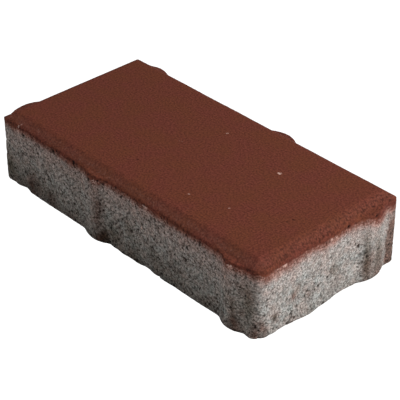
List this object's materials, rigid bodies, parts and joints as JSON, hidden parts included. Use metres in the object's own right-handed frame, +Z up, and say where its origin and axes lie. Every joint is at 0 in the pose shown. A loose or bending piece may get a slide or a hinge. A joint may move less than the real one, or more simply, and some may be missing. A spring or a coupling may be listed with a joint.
{
  "type": "concrete paving stone",
  "caption": "Rectangular two-layer concrete paver: iron-red facing with a bevelled top edge on grey backing concrete, with rounded spacer nibs on its walls.",
  "frame": {"origin": "middle of the base, on the surface that the stone lies on", "axes": "+X along the length, +Y across the width, +Z up through the walking face"},
  "size_m": [0.203, 0.103, 0.044],
  "materials": {
    "backing_concrete": "matte, open-grained grey concrete, pressed and stripped from the mould",
    "facing_concrete": "matte, fine-grained iron-red concrete, pressed smooth by the stamp"
  },
  "bodies": {
    "root": {"backing_block": "backing_concrete", "facing_layer": "facing_concrete"}
  },
  "joints": []
}
